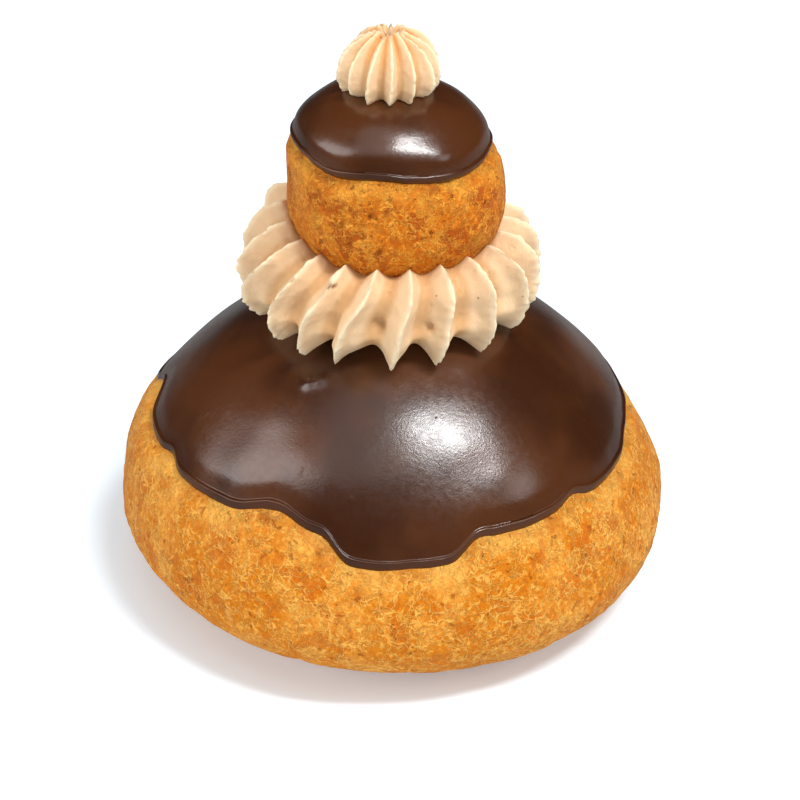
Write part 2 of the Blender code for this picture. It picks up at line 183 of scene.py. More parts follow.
class Bun:
    """The skin of an iced choux bun, as the solids have it.

    A level runs along the profile from 0, the edge of the flat foot, through BELLY_SHARE, the
    widest ring, to 1, the top.
    """

    BELLY_SHARE = 0.3
    HALVINGS = 30

    def __init__(self, foot_z, widest_z, top_z, radius, base_radius, powers, drift, seed):
        self.foot_z = foot_z
        self.widest_z = widest_z
        self.top_z = top_z
        self.radius = radius
        self.base_radius = base_radius
        self.belly_power, self.dome_power = powers
        self.drift = drift
        self.seed = seed

    def profile(self, level):
        """Radius and height at levels."""
        level = np.asarray(level, float)
        turn = np.clip(level / self.BELLY_SHARE, 0.0, 1.0) * math.pi / 2
        belly_out = np.sin(turn) ** self.belly_power
        belly_up = 1 - np.clip(np.cos(turn), 0.0, 1.0) ** self.belly_power
        turn = np.clip((level - self.BELLY_SHARE) / (1 - self.BELLY_SHARE), 0.0, 1.0) * math.pi / 2
        dome_out = np.clip(np.cos(turn), 0.0, 1.0) ** self.dome_power
        dome_up = np.sin(turn) ** self.dome_power
        low = level < self.BELLY_SHARE
        belly_radius = self.base_radius + (self.radius - self.base_radius) * belly_out
        belly_height = self.foot_z + (self.widest_z - self.foot_z) * belly_up
        dome_height = self.widest_z + (self.top_z - self.widest_z) * dome_up
        radius = np.where(low, belly_radius, self.radius * dome_out)
        return radius, np.where(low, belly_height, dome_height)

    def along(self, level):
        """The run of the profile near levels, as radius and height, for a step of one level."""
        step = 0.002
        low_radius, low_height = self.profile(level - step)
        high_radius, high_height = self.profile(level + step)
        span = np.minimum(level + step, 1.0) - np.maximum(level - step, 0.0)
        return (high_radius - low_radius) / span, (high_height - low_height) / span

    def climb(self, level, distance):
        """The levels that lie a distance further up the profile."""
        out, up = self.along(level)
        return level + distance / np.hypot(out, up)

    def level_where(self, below, low):
        """The levels at which a test on the profile turns from true to false."""
        high = np.ones_like(low)
        for _ in range(self.HALVINGS):
            middle = (low + high) / 2
            is_below = below(*self.profile(middle))
            low = np.where(is_below, middle, low)
            high = np.where(is_below, high, middle)
        return (low + high) / 2

    def level_at(self, height):
        """The levels at which the profile reaches heights."""
        return self.level_where(lambda _, z: z < height, np.zeros_like(height))

    def level_out(self, radius):
        """The levels on the dome at which the profile is as wide as radii."""
        return self.level_where(lambda r, _: r > radius, np.full_like(radius, self.BELLY_SHARE))

    def centre_x(self, height):
        """Where the centre of a level lies."""
        found = np.full_like(height, self.drift[-1][1])
        for (low_z, low_x), (high_z, high_x) in reversed(list(zip(self.drift, self.drift[1:]))):
            here = mix(low_x, high_x, smooth((height - low_z) / (high_z - low_z)))
            found = np.where(height < high_z, here, found)
        return found

    def swell(self, angle, radius, height):
        """How far the skin stands out of the plain turned form here."""
        waves = sum(size * np.sin(count * angle + start) for size, count, start in SWELLS)
        spots = polar(angle, radius, height + self.seed)
        bump = SWELL_BUMP * lumps(spots, SWELL_BUMP_SIZE, 0.0)
        return radius / self.radius * (waves * self.radius + bump)

    def skin(self, angle, level, stand=0.0):
        """Points of the skin, or points that stand a distance out of it."""
        angle, level, stand = np.broadcast_arrays(angle, level, stand)
        radius, height = self.profile(level)
        out, up = self.along(level)
        run = np.hypot(out, up)
        calm = smooth(2 * level / self.BELLY_SHARE)
        stand = stand + self.swell(angle, radius, height) * calm
        radius = np.maximum(radius + up / run * stand, 0.0)
        height = np.where(level > 0.0, height - out / run * stand, self.foot_z)
        return polar(angle, radius, height, self.centre_x(height))

    def raise_onto(self, points, room):
        """Points raised where needed to lie a little clear of the dome."""
        height = np.full(points.shape[:-1], self.top_z)
        for _ in range(4):
            across = points[..., 0] - self.centre_x(height)
            level = self.level_out(np.hypot(across, points[..., 1]))
            height = self.skin(np.arctan2(across, -points[..., 1]), level)[..., 2]
        out, up = self.along(level)
        upright = -out / np.hypot(out, up)
        raised = points.copy()
        raised[..., 2] = np.maximum(points[..., 2], height + room / upright)
        return raised


LARGE_BUN = Bun(
    foot_z=0.0,
    widest_z=12.58,
    top_z=49.07,
    radius=42.7,
    base_radius=22.95,
    powers=(1.07, 1.155),
    drift=((0.0, 2.5), (12.6, 0.1), (24.0, -0.85), (34.0, -0.35), (44.0, 0.1), (49.0, 0.0)),
    seed=3.0,
)
SMALL_BUN = Bun(
    foot_z=53.5,
    widest_z=63.5,
    top_z=81.3,
    radius=16.05,
    base_radius=5.0,
    powers=(1.0, 0.74),
    drift=((53.5, 0.7), (66.0, 0.7), (75.0, -0.35), (81.0, -0.35)),
    seed=17.0,
)


def ragged_edge(angle, radius, size, height, seed):
    """Small uneven steps along a rim."""
    return height * lumps(polar(angle, radius, 0.0), size, seed, 2)


def large_rim(angle):
    """Height of the rim of the large icing: the lowest of its lobes at each angle."""
    softened = np.zeros_like(angle)
    for turn, weight in RIM_SOFTENING:
        run = np.zeros_like(angle)
        for centre, half_width, drop in ICING_LOBES:
            away = np.abs((np.degrees(angle) + turn - centre + 180.0) % 360.0 - 180.0)
            flank = smooth((half_width + LOBE_FLANK / 2 - away) / LOBE_FLANK)
            run = np.maximum(run, drop * flank * (1 - LOBE_ROUNDING * (away / half_width) ** 2))
        softened += weight * run
    return ICING_RIM_Z - softened + ragged_edge(angle, *RIM_RAGGED)


def small_rim(angle):
    """Height of the rim of the small icing."""
    waves = sum(size * np.sin(count * angle + start) for size, count, start in TOP_ICING_WAVES)
    return TOP_ICING_RIM_Z + waves + ragged_edge(angle, *TOP_RIM_RAGGED)


def push_out(grid, amount):
    """A grid with every point moved along the surface's normal."""
    round_it = np.roll(grid, -1, axis=1) - np.roll(grid, 1, axis=1)
    up_it = np.gradient(grid, axis=0)
    normal = np.cross(round_it, up_it)
    length = np.linalg.norm(normal, axis=-1, keepdims=True)
    return grid + normal / np.maximum(length, 1e-9) * np.asarray(amount)[..., None]


def bowls(points, centres, sizes, depths):
    """How deep round dents are at each point."""
    deep = np.zeros(points.shape[:-1])
    for centre, size, depth in zip(centres, sizes, depths):
        away = np.linalg.norm(points - centre, axis=-1) / size
        deep += depth * np.exp(-DENT_FALL * away**2)
    return deep


def strewn_bowls(points, spots, count, sizes, depths, seed):
    """Dents strewn over some of the spots, of a range of sizes and depths: how deep they are."""
    chance = np.random.default_rng(seed)
    centres = spots[chance.integers(len(spots), size=count)]
    return bowls(points, centres, chance.uniform(*sizes, count), chance.uniform(*depths, count))


def seen_at(points, pixel):
    """The nearest of the points to the camera that shows at a pixel of the photograph."""
    eye = np.array(CAMERA_AT)
    ahead = np.array(CAMERA_AIM) - eye
    ahead /= np.linalg.norm(ahead)
    right = np.cross(ahead, (0.0, 0.0, 1.0))
    right /= np.linalg.norm(right)
    up = np.cross(right, ahead)
    flat = points.reshape(-1, 3)
    away = (flat - eye) @ ahead
    focal = CAMERA_LENS / CAMERA_SENSOR * PHOTO_WIDTH
    across = PHOTO_WIDTH / 2 + focal * ((flat - eye) @ right) / away
    down = PHOTO_WIDTH / 2 - focal * ((flat - eye) @ up) / away
    off = np.hypot(across - pixel[0], down - pixel[1])
    return flat[np.argmin(away + PIXEL_COST * np.maximum(off - PIXEL_SLACK, 0.0))]


def marks_at(points, marks):
    """Round marks at pixels of the photograph: how deep or tall they are at each point."""
    centres = [seen_at(points, pixel) for pixel, _, _ in marks]
    return bowls(points, centres, [size for _, size, _ in marks], [depth for _, _, depth in marks])


def pastry_piece(name, grid, foot, top, finish):
    """A closed piece from a grid, which takes the place of the solid of its name."""
    rows, steps = grid.shape[:2]
    points = np.concatenate(([foot], grid.reshape(-1, 3), [top])) * MM
    i = np.arange(steps)
    j = (i + 1) % steps
    low = 1 + steps * np.arange(rows - 1)[:, None]
    quads = np.stack((low + i, low + j, low + steps + j, low + steps + i), axis=-1).reshape(-1, 4)
    last = len(points) - 1
    high = 1 + (rows - 1) * steps
    fans = [(0, 1 + b, 1 + a) for a, b in zip(i, j)]
    fans += [(high + a, high + b, last) for a, b in zip(i, j)]
    mesh = bpy.data.meshes.new(name + "_fine")
    mesh.from_pydata(points.tolist(), [], quads.tolist() + fans)
    mesh.shade_smooth()
    mesh.materials.append(finish)
    piece = bpy.data.objects.new(name + "_fine", mesh)
    bpy.context.scene.collection.objects.link(piece)
    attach(piece, "root")
    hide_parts(name)
    return piece


def mark_points(piece, name, values):
    """A number at every point of a piece, 0 at its two end points, for its finish to read."""
    attribute = piece.data.attributes.new(name, "FLOAT", "POINT")
    numbers = np.concatenate(([0.0], values.ravel(), [0.0]))
    attribute.data.foreach_set("value", numbers.astype(np.float32))


# Baked crust: how it draws in below the rim of the icing, and how far its pale and brown bands run; the
# pale band's run also sets the painted shade under the icing's lip
CRUST_TUCK = 0.6
CRUST_TUCK_RUN = 2.6
CRUST_UNDER_ICING = 1.5
CRUST_TUCK_END = 0.4
CRUST_TUCK_ROWS = 9
CRUST_HIDDEN_ROWS = (0.8, 1.3, 2.0)
CRUST_CAP_SHARES = (0.15, 0.3, 0.5, 0.7, 0.9)
PALE_AND_LIP_SHADE_RUN = 4.5
LARGE_FOOT_RUN = 7.0
SMALL_FOOT_RUN = 11.0

# Relief of the crust: size and depth of wrinkles, folds and blisters, then its small pits
CRUST_WRINKLES = (2.1, 0.12)
CRUST_FOLDS = (5.5, 0.2)
CRUST_BLISTERS = (3.2, 0.13)
CRUST_PITS = 150
CRUST_PIT_SIZES = (0.25, 0.8)
CRUST_PIT_DEPTHS = (0.05, 0.2)

# Larger pits where the photograph has them: pixel, size, depth
PHOTO_LARGE_PITS = (
    ((265, 515), 1.3, 0.35),
    ((272, 519), 0.8, 0.3),
    ((318, 553), 1.0, 0.25),
    ((356, 593), 0.9, 0.22),
)
PHOTO_SMALL_PITS = (
    ((369, 218), 0.55, 0.4),
    ((376, 221), 0.4, 0.35),
    ((349, 243), 0.6, 0.3),
    ((380, 254), 0.8, 0.3),
)


def baked_crust(name, bun, rim, steps, rows, photo_pits, seed, finish, foot_run):
    """A baked bun: wrinkled, blistered and pitted where it is bare, tucked in under its icing."""
    turns = turned_steps(steps)
    rim_level = bun.level_at(rim(turns))
    belly_rows, side_rows = rows
    belly = np.linspace(0.0, 1.0, belly_rows, endpoint=False)[:, None] * Bun.BELLY_SHARE + 0 * turns
    edge = bun.climb(rim_level, -CRUST_TUCK_RUN)
    side = mix(Bun.BELLY_SHARE, edge, np.linspace(0.0, 1.0, side_rows, endpoint=False)[:, None])
    tucked = np.linspace(-CRUST_TUCK_RUN, CRUST_TUCK_END, CRUST_TUCK_ROWS)
    above = np.concatenate((tucked, CRUST_HIDDEN_ROWS))[:, None]
    tuck = bun.climb(rim_level, above)
    cap = mix(rim_level, 1.0, np.array(CRUST_CAP_SHARES)[:, None])
    level = np.concatenate((belly, side, tuck, cap))
    sunk = CRUST_TUCK * smooth((above + CRUST_TUCK_RUN) / CRUST_TUCK_RUN)
    sunk = sunk + (CRUST_UNDER_ICING - CRUST_TUCK) * smooth((above - 0.2) / 1.2)
    sunk = np.concatenate((0 * belly, 0 * side, sunk + 0 * turns, CRUST_UNDER_ICING + 0 * cap))
    grid = bun.skin(turns, level, -sunk)

    bare = smooth(level / Bun.BELLY_SHARE * 3) * (1 - smooth(sunk / CRUST_TUCK - 0.5))
    wrinkle_size, wrinkle_depth = CRUST_WRINKLES
    fold_size, fold_depth = CRUST_FOLDS
    blister_size, blister_depth = CRUST_BLISTERS
    wrinkles = 0.5 - np.abs(lumps(grid, wrinkle_size, seed, 2))
    folds = 0.5 - np.abs(lumps(grid, fold_size, seed + 3, 2))
    blisters = lumps(grid, blister_size, seed + 7, 3)
    relief = wrinkle_depth * wrinkles + fold_depth * folds + blister_depth * blisters
    spots = grid[: belly_rows + side_rows].reshape(-1, 3)
    pitted = strewn_bowls(grid, spots, CRUST_PITS, CRUST_PIT_SIZES, CRUST_PIT_DEPTHS, int(seed))
    pitted = pitted + marks_at(grid, photo_pits)
    grid = push_out(grid, bare * relief - bare * pitted)
    grid[..., 2] = np.maximum(grid[..., 2], bun.foot_z)
    foot = np.array((float(bun.centre_x(np.array(bun.foot_z))), 0.0, bun.foot_z))
    top = bun.skin(np.zeros(1), np.ones(1), -CRUST_UNDER_ICING)[0]
    piece = pastry_piece(name, grid, foot, top, finish)
    mark_points(piece, "pits", np.clip(bare * pitted / CRUST_PIT_DEPTHS[1], 0.0, 1.0))
    # Nearness to the rim: it feeds the pale band and the painted shade under the icing's lip
    mark_points(piece, "under_rim", 1 - smooth((rim(turns) - grid[..., 2]) / PALE_AND_LIP_SHADE_RUN))
    mark_points(piece, "near_foot", 1 - smooth((grid[..., 2] - bun.foot_z) / foot_run))
    return piece


# Set icing: the face of its lip, the crease above it, and the shoulder over that
LIP_FACE = 1.4
LIP_TOP = 0.3
LIP_PROUD = 0.1
LIP_DROP = 0.6
CREASE_DEPTH = 0.2
CREASE_UNEVEN = (7.0, 0.4)
SHOULDER_AT = 4.0
ICING_INSIDE = 1.4
FACE_TUCK = 0.62
FACE_CURVE = 1.3
FACE_SPACING = 1.4
FACE_ROWS = 13
OVER_ANGLES = (12.0, 84.0)
OVER_ROWS = 7
RISE_ROWS = 12
BACK_ROWS = 16
CAP_SPACING = 0.9
INSIDE_SHARES = (0.9, 0.6, 0.3, 0.12)
LARGE_SHOULDER = (0.12, 7.0)
SMALL_SHOULDER = (0.2, 3.7)
SMALL_LIP = 0.8

# Low unevenness of the icing: size and height of its broad and of its fine swells
ICING_BROAD_SWELLS = (11.0, 0.1)
ICING_FINE_SWELLS = (4.2, 0.02)

# Swells, a drip's glinting ridge and burst bubbles where the photograph has them: pixel, size, height
PHOTO_SWELLS = (
    ((455, 448), 7.0, 0.08),
    ((520, 492), 8.0, 0.2),
    ((244, 466), 6.0, 0.16),
    ((300, 458), 6.0, 0.16),
)
PHOTO_GLINTS = (((308, 382), 1.6, 0.36), ((318, 380), 1.6, 0.36))
PHOTO_TOP_SWELLS = (((448, 167), 4.6, 0.36), ((342, 160), 3.5, 0.1))
PHOTO_BUBBLES = ((402, 548), (428, 548), (300, 470), (352, 500), (206, 412), (520, 436))
BUBBLE_MARK = (0.3, 0.1)


def set_icing(name, bun, rim, steps, rows, seed, finish, lip, shoulder, marks):
    """A cap of icing that has run down and set: a rolled lip, a crease, a shoulder, then the dome."""
    turns = turned_steps(steps)
    rim_level = bun.level_at(rim(turns))
    inside = mix(rim_level, 1.0, np.array(INSIDE_SHARES)[:, None])
    shoulder_proud, shoulder_run = shoulder
    uneven_size, uneven_share = CREASE_UNEVEN
    depth = 1 + uneven_share * lumps(polar(turns, bun.radius, 0.0), uneven_size, seed + 1, 2)
    below = np.linspace(1.0, 0.0, FACE_ROWS)[:, None] ** FACE_SPACING
    face_above = lip * (LIP_FACE * (1 - below) - LIP_DROP)
    face_stand = LIP_PROUD - (FACE_TUCK * ICING_INSIDE + LIP_PROUD) * below**FACE_CURVE
    over = np.radians(np.linspace(*OVER_ANGLES, OVER_ROWS))[:, None]
    over_above = lip * (LIP_FACE - LIP_DROP + LIP_TOP * np.sin(over))
    over_stand = LIP_PROUD - depth * (CREASE_DEPTH + LIP_PROUD) * (1 - np.cos(over))
    rise = np.linspace(0.0, 1.0, RISE_ROWS)[1:, None]
    rise_above = mix(over_above[-1], lip * SHOULDER_AT, rise)
    rise_stand = mix(over_stand[-1], shoulder_proud, smooth(0.12 + 0.88 * rise))
    back = np.linspace(0.0, 1.0, BACK_ROWS)[1:, None]
    back_above = lip * SHOULDER_AT + shoulder_run * back
    back_stand = shoulder_proud * (1 - smooth(back))
    edge = bun.climb(rim_level, back_above[-1])
    cap = mix(edge, 1.0, np.linspace(0.0, 1.0, rows + 2)[1:-1, None] ** CAP_SPACING)
    above = np.concatenate((face_above, over_above, rise_above, back_above))
    level = np.concatenate((inside, bun.climb(rim_level, above), cap))
    stands = (inside * 0 - ICING_INSIDE, face_stand, over_stand, rise_stand, back_stand, 0 * cap)
    stand = np.concatenate([rows_stand + 0 * turns for rows_stand in stands])
    grid = bun.skin(turns, level, stand)
    face = smooth((stand + ICING_INSIDE) / ICING_INSIDE)
    broad_size, broad_height = ICING_BROAD_SWELLS
    fine_size, fine_height = ICING_FINE_SWELLS
    relief = broad_height * lumps(grid, broad_size, seed)
    relief = relief + fine_height * lumps(grid, fine_size, seed + 5)
    grid = push_out(grid, face * (relief + marks_at(grid, marks)))
    foot = bun.skin(np.zeros(1), np.ones(1), -ICING_INSIDE)[0]
    top = bun.skin(np.zeros(1), np.ones(1), 0.0)[0]
    return pastry_piece(name, grid, foot, top, finish)


# Piped cream: how its crests and valleys run
CREST_SHARPNESS = 0.95
CREST_ROUNDING = 0.035
FIN_STEPS = 40
FIN_ROWS = 78

# Relief of the ruff: size and depth of its ragged crests, soft lumps and grain, then its small pits
RUFF_RAGGED = (0.9, 0.3)
RUFF_SOFT = (3.4, 0.22)
RUFF_GRAIN = (1.0, 0.05)
CREAM_PITS = 70
CREAM_PIT_SIZES = (0.15, 0.35)
CREAM_PIT_DEPTHS = (0.08, 0.25)
CREAM_PIT_SEED = 7

# Marks of the cream where the photograph has them: pixel, size, depth or height
PHOTO_DIMPLES = (((378, 325), 1.3, 0.8), ((427, 327), 1.0, 0.9))
PHOTO_TEARS = (((330, 285), 0.75, 0.55), ((337, 287), 0.65, 0.5))
PHOTO_FLAPS = (((339, 270), 2.4, 0.4), ((332, 279), 1.2, 0.3))
# The dark mark in the tears and dimples is painted shade; this depth and this share set how strong it
# is
TORN_DEPTH = 0.4
DIMPLE_SHADE = 0.4


def crest_share(angle, count):
    """1 on a crest and 0 in a valley: thin crests and broad valleys, as a star nozzle leaves."""
    across = np.sqrt(np.sin(count * angle / 2) ** 2 + CREST_ROUNDING**2)
    lowest = CREST_ROUNDING**CREST_SHARPNESS
    return 1.0 - (across**CREST_SHARPNESS - lowest) / (1 - lowest)


def piped_ruff(name, finish):
    """The ring of piped cream: star-nozzle fins on a round body that the small bun is set into."""
    first = math.radians(RUFF_FIRST_FIN)
    turns = first + turned_steps(RUFF_FINS * FIN_STEPS)
    share = crest_share(turns - first, RUFF_FINS)
    count = np.round((turns - first) / TAU * RUFF_FINS).astype(int)
    fin = np.where(count <= RUFF_FINS // 2, count, count - RUFF_FINS)
    stray = np.zeros_like(turns)
    for number, degrees in RUFF_STRAYS.items():
        stray = np.where(fin == number, degrees, stray)
    sweep = np.radians(RUFF_LEAN + RUFF_LEAN_SWAY * np.sin(turns) + stray * smooth(2 * share))
    rise = RUFF_RISE * np.clip(np.cos(turns - math.radians(RUFF_RISE_AT)), 0.0, 1.0) ** 2
    foot_z = RUFF_AXIS_Z - RUFF_CREST[1]

    def swept(height):
        """The angles to which the fins have leaned at a height."""
        return turns + sweep * (RUFF_COLLAR_Z[1] - height) / (RUFF_COLLAR_Z[1] - foot_z)

    turn = np.radians(np.linspace(RUFF_LOW_ANGLE, RUFF_HIGH_ANGLE, FIN_ROWS))[:, None]
    uneven = 1 + RUFF_UNEVEN * np.sin(fin**2)
    off_bulge = (np.degrees(turn) - RUFF_BULGE_ANGLE) / RUFF_BULGE_SPREAD
    bulge = RUFF_BULGE * np.exp(-(off_bulge**2))
    wide = mix(RUFF_VALLEY[0] + bulge, RUFF_CREST[0] * uneven, share)
    tall = mix(np.where(turn < 0, RUFF_VALLEY_FOOT, RUFF_VALLEY[1]), RUFF_CREST[1], share)
    lift = rise * np.clip(np.sin(turn), 0.0, 1.0)
    radius = RUFF_AXIS_RADIUS + wide * np.cos(turn) + RUFF_RISE_OUT * lift
    height = RUFF_AXIS_Z + tall * np.sin(turn) + lift
    closing = smooth((height - RUFF_AXIS_Z) / (RUFF_COLLAR_Z[0] - RUFF_AXIS_Z))
    centre_x = mix(RUFF_CENTRE[0], SMALL_BUN.centre_x(height), closing)
    centre_y = mix(RUFF_CENTRE[1], 0.0, closing)
    fins = polar(swept(height), radius, height, centre_x, centre_y)

    lying = polar(swept(foot_z), np.array(RUFF_HIDDEN_RADII)[:, None], 0.0)
    down = np.array(RUFF_DISH_SHARES)[:, None]
    edge_z = mix(*RUFF_COLLAR_Z, share) + rise
    dish = SMALL_BUN.skin(turns, SMALL_BUN.level_at(mix(edge_z, SMALL_BUN.foot_z, down)), CONTACT)
    grid = np.concatenate((lying, fins, dish))

    hidden_low, hidden_high = 0 * lying[..., 0], 0 * dish[..., 0]
    crest = np.concatenate((hidden_low, share + 0 * turn, hidden_high))
    below_collar = smooth((RUFF_CALM_ANGLE - np.degrees(turn)) / RUFF_CALM_RUN) + 0 * turns
    free = np.concatenate((hidden_low, below_collar, hidden_high))
    ragged = RUFF_RAGGED[1] * crest**6 * lumps(grid, RUFF_RAGGED[0], 2.0, 2)
    soft = RUFF_SOFT[1] * lumps(grid, RUFF_SOFT[0], 4.0, 2)
    soft = soft + RUFF_GRAIN[1] * lumps(grid, RUFF_GRAIN[0], 6.0)
    dimples = marks_at(grid, PHOTO_DIMPLES)
    tears = marks_at(grid, PHOTO_TEARS)
    spots = fins.reshape(-1, 3)
    pits = strewn_bowls(grid, spots, CREAM_PITS, CREAM_PIT_SIZES, CREAM_PIT_DEPTHS, CREAM_PIT_SEED)
    dents = pits + dimples + tears
    grid = push_out(grid, free * (ragged + soft - dents + marks_at(grid, PHOTO_FLAPS)))
    low = grid[: len(lying) + FIN_ROWS // 2]
    grid[: len(low)] = LARGE_BUN.raise_onto(low, CONTACT)
    foot = LARGE_BUN.skin(np.zeros(1), np.ones(1), CONTACT)[0]
    dish_x = float(SMALL_BUN.centre_x(np.array(SMALL_BUN.foot_z)))
    top = np.array((dish_x, 0.0, SMALL_BUN.foot_z - CONTACT))
    piece = pastry_piece(name, grid, foot, top, finish)
    mark_points(piece, "crest", crest)
    # Painted shade in the tears and dimples, for the cream's finish to read
    mark_points(piece, "hole_shade", np.clip(tears / TORN_DEPTH + DIMPLE_SHADE * dimples, 0.0, 1.0))
    return piece


# The rosette: how its ribs close over a crater, and the nib in it
RIB_STEPS = 24
RIB_ROWS = 84
RIB_LOW_ANGLE = -44.0
RIB_HIGH_ANGLE = 70.0
RIB_DROP_SWAY = 0.9
RIB_TOP_SWAY = 0.35
RIB_WIDTH_SWAY = 0.03
RIB_TURN_SWAY = 0.03
RIB_RAGGED = (0.6, 0.22)
RIB_SOFT = (2.0, 0.12)
RIB_GRAIN = (0.7, 0.04)
CRATER_DEPTH = 0.8
CRATER_KNOB = 0.45
CRATER_ROWS = 14
CRATER_TWIST = 0.3
NIB_RADIUS = 0.42
NIB_LEAN = 0.3
NIB_SHARES = (0.2, 0.4, 0.6, 0.8, 0.94)
ROSETTE_HIDDEN_RADII = (1.5, 3.5)


def piped_rosette(name, finish):
    """The small star of cream on top: ribs that run up into a shallow crater with a drawn-out nib."""
    turns = turned_steps(ROSETTE_RIBS * RIB_STEPS)
    share = crest_share(turns, ROSETTE_RIBS)
    rib = np.round(turns / TAU * ROSETTE_RIBS) % ROSETTE_RIBS
    turn = np.radians(np.linspace(RIB_LOW_ANGLE, RIB_HIGH_ANGLE, RIB_ROWS))[:, None]
    up, out = np.sin(turn), np.cos(turn)
    drop = ROSETTE_DROP + RIB_DROP_SWAY * share * np.sin(2.7 * rib)
    rise = np.where(up > 0, ROSETTE_TOP_Z - ROSETTE_WIDEST_Z, drop)
    height = ROSETTE_WIDEST_Z + rise * up + RIB_TOP_SWAY * np.sin(1.9 * rib) * smooth(up)
    uneven = 1 + RIB_WIDTH_SWAY * np.sin(3.1 * rib + 1.0)
    radius = mix(ROSETTE_VALLEY, ROSETTE_CREST * uneven, share) * out
    twist = np.radians(ROSETTE_FIRST_RIB + ROSETTE_TWIST * up)
    angle = turns + twist + RIB_TURN_SWAY * np.sin(2.3 * rib) * share * up
    sides = polar(angle, radius, height, ROSETTE_X)
    fold = np.linspace(0.0, 1.0, CRATER_ROWS)[1:, None]
    knob = CRATER_KNOB * share * np.sin(np.clip(2.2 * fold, 0.0, 1.0) * math.pi)
    crater_radius = mix(radius[-1], NIB_RADIUS, fold)
    crater_height = height[-1] + knob - CRATER_DEPTH * smooth(fold * 1.5 - 0.3)
    crater = polar(angle[-1] + CRATER_TWIST * fold, crater_radius, crater_height, ROSETTE_X)
    nib_share = np.array(NIB_SHARES)[:, None]
    nib_height = mix(crater_height[-1], ROSETTE_NIB_Z, nib_share)
    nib_radius = NIB_RADIUS * (1 - nib_share) ** 0.6 * (1 + 0.3 * np.sin(3 * turns + 4 * nib_share))
    nib = polar(angle[-1] + CRATER_TWIST, nib_radius, nib_height, ROSETTE_X + NIB_LEAN * nib_share)
    lying = polar(angle[0], np.array(ROSETTE_HIDDEN_RADII)[:, None], 0.0, ROSETTE_X)
    grid = np.concatenate((lying, sides, crater, nib))
    hidden, in_crater, on_nib = 0 * lying[..., 0], 0 * crater[..., 0], 0 * nib[..., 0]
    crest = np.concatenate((hidden, share + 0 * turn, share * (1 - 0.5 * fold), 0.6 + on_nib))
    valley_tops = (1 - share) ** 2 * smooth(1.6 * up - 0.4)
    hollow = np.concatenate((hidden, valley_tops, in_crater, on_nib))
    ragged = RIB_RAGGED[1] * crest**5 * lumps(grid, RIB_RAGGED[0], 12.0, 2)
    soft = RIB_SOFT[1] * lumps(grid, RIB_SOFT[0], 14.0, 2)
    soft = soft + RIB_GRAIN[1] * lumps(grid, RIB_GRAIN[0], 16.0)
    grid = push_out(grid, np.where(grid[..., 2] > SMALL_BUN.foot_z, ragged + soft, 0.0))
    grid = SMALL_BUN.raise_onto(grid, CONTACT)
    foot = SMALL_BUN.skin(np.zeros(1), np.ones(1), CONTACT)[0]
    top = np.array((ROSETTE_X + NIB_LEAN, 0.0, ROSETTE_NIB_Z))
    piece = pastry_piece(name, grid, foot, top, finish)
    mark_points(piece, "crest", crest)
    mark_points(piece, "hollow", hollow)
    return piece


# Finishes: colours are linear red, green, blue
CRUST_COLOURS = {
    "crust": {
        "Gold": (0.575, 0.170, 0.0025),
        "Deep": (0.50, 0.112, 0.002),
        "Pale": (0.88, 0.47, 0.095),
        "Brown": (0.24, 0.05, 0.002),
    },
    "small_crust": {
        "Gold": (0.55, 0.135, 0.003),
        "Deep": (0.38, 0.062, 0.001),
        "Pale": (0.88, 0.40, 0.05),
        "Brown": (0.15, 0.026, 0.001),
    },
}
ICING_BROWN = (0.037, 0.009, 0.0014)
ICING_RICH = (0.070, 0.019, 0.0035)
# The cream's crest colour is a painted highlight and its valley colour a painted shade, either side of
# its plain colour
CREAM_CREST_HIGHLIGHT = (0.85, 0.66, 0.43)
CREAM_LIGHT = (0.78, 0.535, 0.31)
CREAM_VALLEY_SHADE = (0.63, 0.36, 0.16)
CREAM_HOLLOW = (0.70, 0.27, 0.055)
# Dark colour of the small specks, also used as the painted shade in tears and dimples
CREAM_SPECK_AND_HOLE_SHADE = (0.30, 0.12, 0.035)


def place(tree, kind, inputs=None, **settings):
    """A node with its settings made and its inputs set or linked."""
    made = tree.nodes.new(kind)
    for name, value in settings.items():
        setattr(made, name, value)
    for name, value in (inputs or {}).items():
        if isinstance(value, bpy.types.NodeSocket):
            tree.links.new(value, made.inputs[name])
        else:
            made.inputs[name].default_value = value
    return made


def mottle(tree, where, size, detail=2.0, distortion=0.0):
    """Noise from 0 to 1 in patches of a size in millimetres."""
    settings = {"Vector": where, "Scale": 1 / (size * MM), "Detail": detail, "Distortion": distortion}
    return place(tree, "ShaderNodeTexNoise", settings).outputs["Fac"]


def band(tree, value, low, high, out_low=0.0, out_high=1.0):
    """Eased step of a value between two limits."""
    limits = {"From Min": low, "From Max": high, "To Min": out_low, "To Max": out_high}
    settings = {"Value": value, **limits}
    eased = place(tree, "ShaderNodeMapRange", settings, interpolation_type="SMOOTHSTEP")
    return eased.outputs["Result"]


def maths(tree, operation, first, second=0.0):
    """One sum of two numbers in the material."""
    return place(tree, "ShaderNodeMath", {0: first, 1: second}, operation=operation).outputs[0]


def scaled(tree, vector, size):
    """A vector or colour times a number."""
    return place(tree, "ShaderNodeVectorMath", {0: vector, "Scale": size}, operation="SCALE").outputs[0]


def blend_colours(tree, share, first, second):
    """Two colours mixed by a share."""
    made = place(tree, "ShaderNodeMix", data_type="RGBA", blend_type="MIX", clamp_factor=True)
    factor, a, b = made.inputs[0], made.inputs[6], made.inputs[7]
    for socket, value in ((factor, share), (a, first), (b, second)):
        if isinstance(value, bpy.types.NodeSocket):
            tree.links.new(value, socket)
        elif socket == factor:
            socket.default_value = value
        else:
            socket.default_value = (*value, 1.0)
    return made.outputs[2]


def node_group(name, inputs, outputs):
    """An empty shader node group with named sockets, and its two ends."""
    group = bpy.data.node_groups.new(name, "ShaderNodeTree")
    for label, kind, value in inputs:
        socket = group.interface.new_socket(label, in_out="INPUT", socket_type=kind)
        if value is not None:
            socket.default_value = value
    for label, kind in outputs:
        group.interface.new_socket(label, in_out="OUTPUT", socket_type=kind)
    return group, group.nodes.new("NodeGroupInput"), group.nodes.new("NodeGroupOutput")


